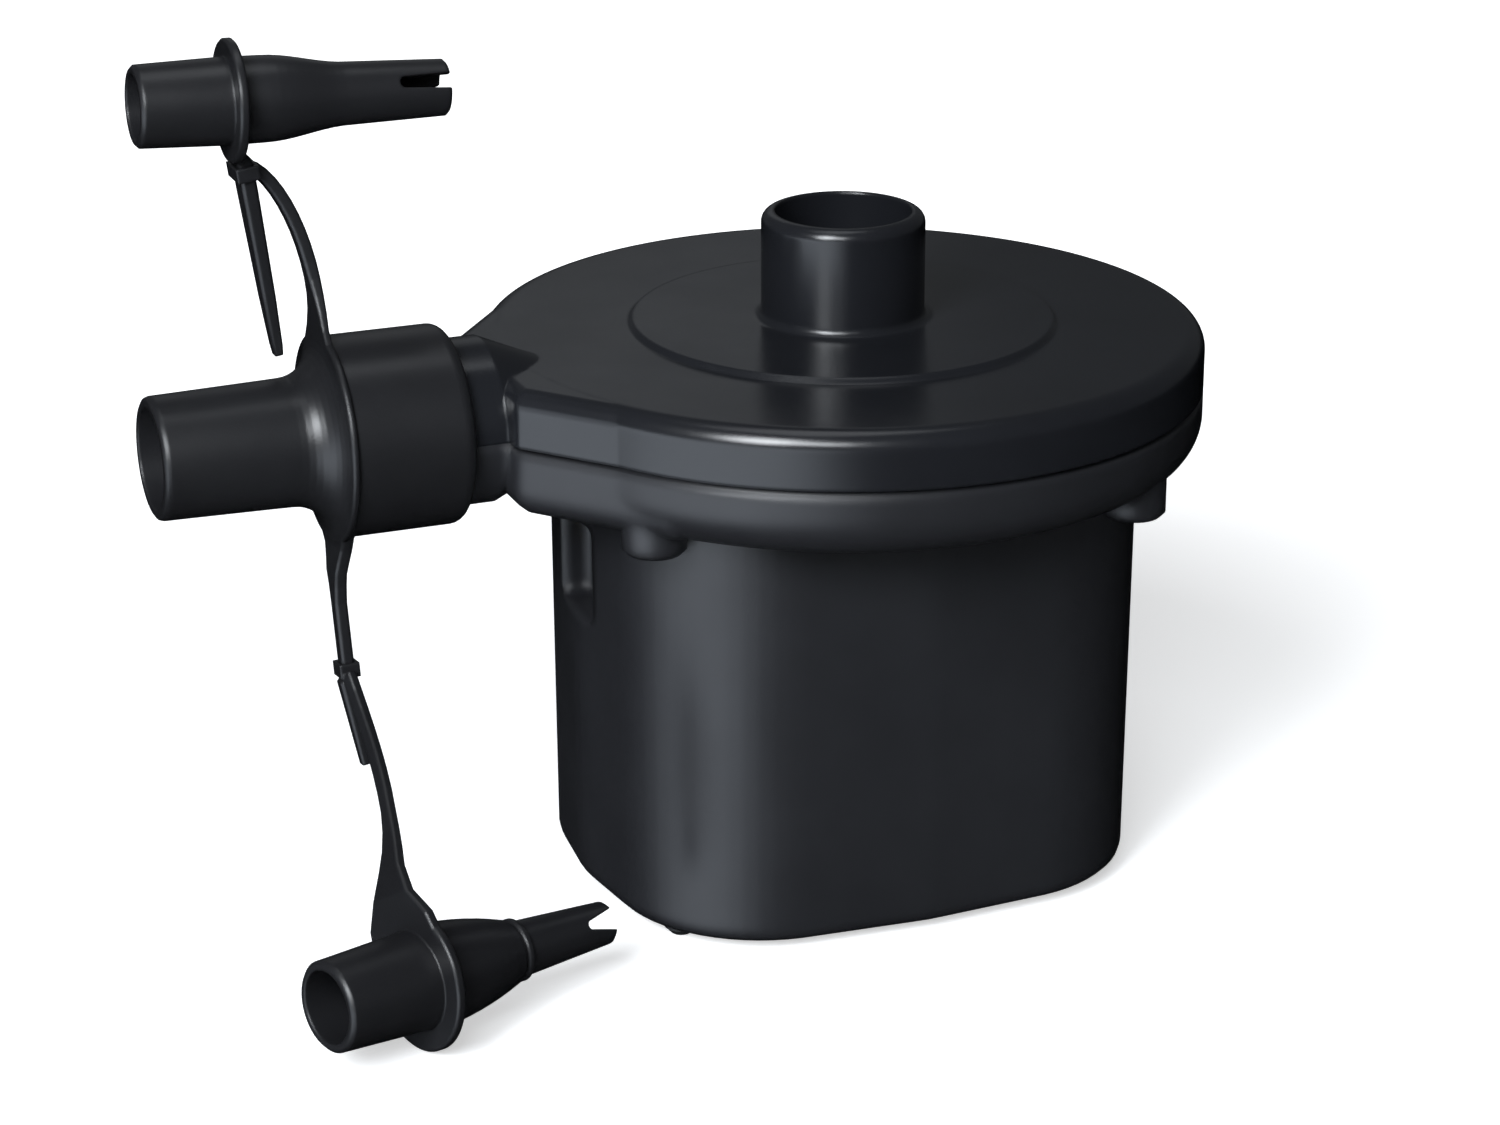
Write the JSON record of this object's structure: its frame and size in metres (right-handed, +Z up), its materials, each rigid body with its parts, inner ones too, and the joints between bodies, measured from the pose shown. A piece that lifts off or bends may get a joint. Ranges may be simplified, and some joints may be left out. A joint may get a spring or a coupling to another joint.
{
  "type": "electric air pump",
  "caption": "Electric pump for air beds: rounded-square motor body under a round volute, intake port on top, side outlet spigot carrying linked nozzle adapters.",
  "frame": {"origin": "On the impeller axis, in the flat underside of the base; the feet reach 1.6 mm below it.", "axes": "+Z up along the impeller axis and the intake port, -X along the outlet, towards the large nozzle's open end."},
  "size_m": [0.1704, 0.115, 0.1437],
  "materials": {
    "body_plastic": "satin black moulding",
    "lid_plastic": "semi-gloss black moulding",
    "adapter_plastic": "soft black moulding with a fine sheen",
    "inner_plastic": "plain dark moulding",
    "cap_plastic": "plain cream moulding",
    "jack_plastic": "gloss black",
    "rocker_plastic": "gloss black",
    "foot_rubber": "soft black",
    "screw_steel": "zinc plated",
    "can_steel": "plated drawn steel",
    "shaft_steel": "ground steel",
    "core_steel": "stacked sheet",
    "magnet": "sintered ferrite",
    "bush_bronze": "sintered bronze",
    "contact_brass": "bright",
    "copper": "copper",
    "carbon": "pressed carbon",
    "lead_red": "soft red insulation",
    "lead_black": "soft black insulation"
  },
  "bodies": {
    "pump": {"lower_housing": "body_plastic", "top_cover": "lid_plastic", "cover_screws": "screw_steel", "rubber_feet": "foot_rubber", "motor_plate": "inner_plastic", "plate_screws": "screw_steel", "motor_can": "can_steel", "motor_magnets": "magnet", "motor_end_cap": "cap_plastic", "motor_screws": "screw_steel", "front_bush": "bush_bronze", "rear_bush": "bush_bronze", "brushes": "carbon", "motor_terminals": "contact_brass", "dc_jack": "jack_plastic", "jack_pin": "contact_brass", "jack_terminals": "contact_brass", "switch_frame": "jack_plastic", "switch_terminals": "contact_brass", "lead_supply": "lead_red", "lead_motor": "lead_red", "lead_return": "lead_black"},
    "rotor": {"motor_shaft": "shaft_steel", "armature_core": "core_steel", "armature_windings": "copper", "commutator": "copper", "impeller": "inner_plastic"},
    "rocker": {"switch_rocker": "rocker_plastic"},
    "large_nozzle": {"large_adapter": "adapter_plastic"},
    "upper_nozzle": {"upper_adapter": "adapter_plastic"},
    "lower_nozzle": {"lower_adapter": "adapter_plastic"}
  },
  "joints": [
    {"name": "impeller_spin", "type": "hinge", "parent": "pump", "child": "rotor", "pos_m": [0, 0, 0.0806], "axis": [0, 0, 1], "continuous": true},
    {"name": "rocker_tip", "type": "hinge", "parent": "pump", "child": "rocker", "pos_m": [0.0411, 0, 0.044], "axis": [0, -1, 0], "range_deg": [0, 18]},
    {"name": "large_pull", "type": "slide", "parent": "pump", "child": "large_nozzle", "axis": [-1, 0, 0], "range_m": [0, 0.018]},
    {"name": "upper_pull", "type": "slide", "parent": "large_nozzle", "child": "upper_nozzle", "axis": [-0.1374, 0, 0.9905], "range_m": [0, 0.026]},
    {"name": "lower_slide", "type": "slide", "parent": "large_nozzle", "child": "lower_nozzle", "axis": [-0.0385, 0.1391, 0.9895], "range_m": [0, 0.009]}
  ]
}
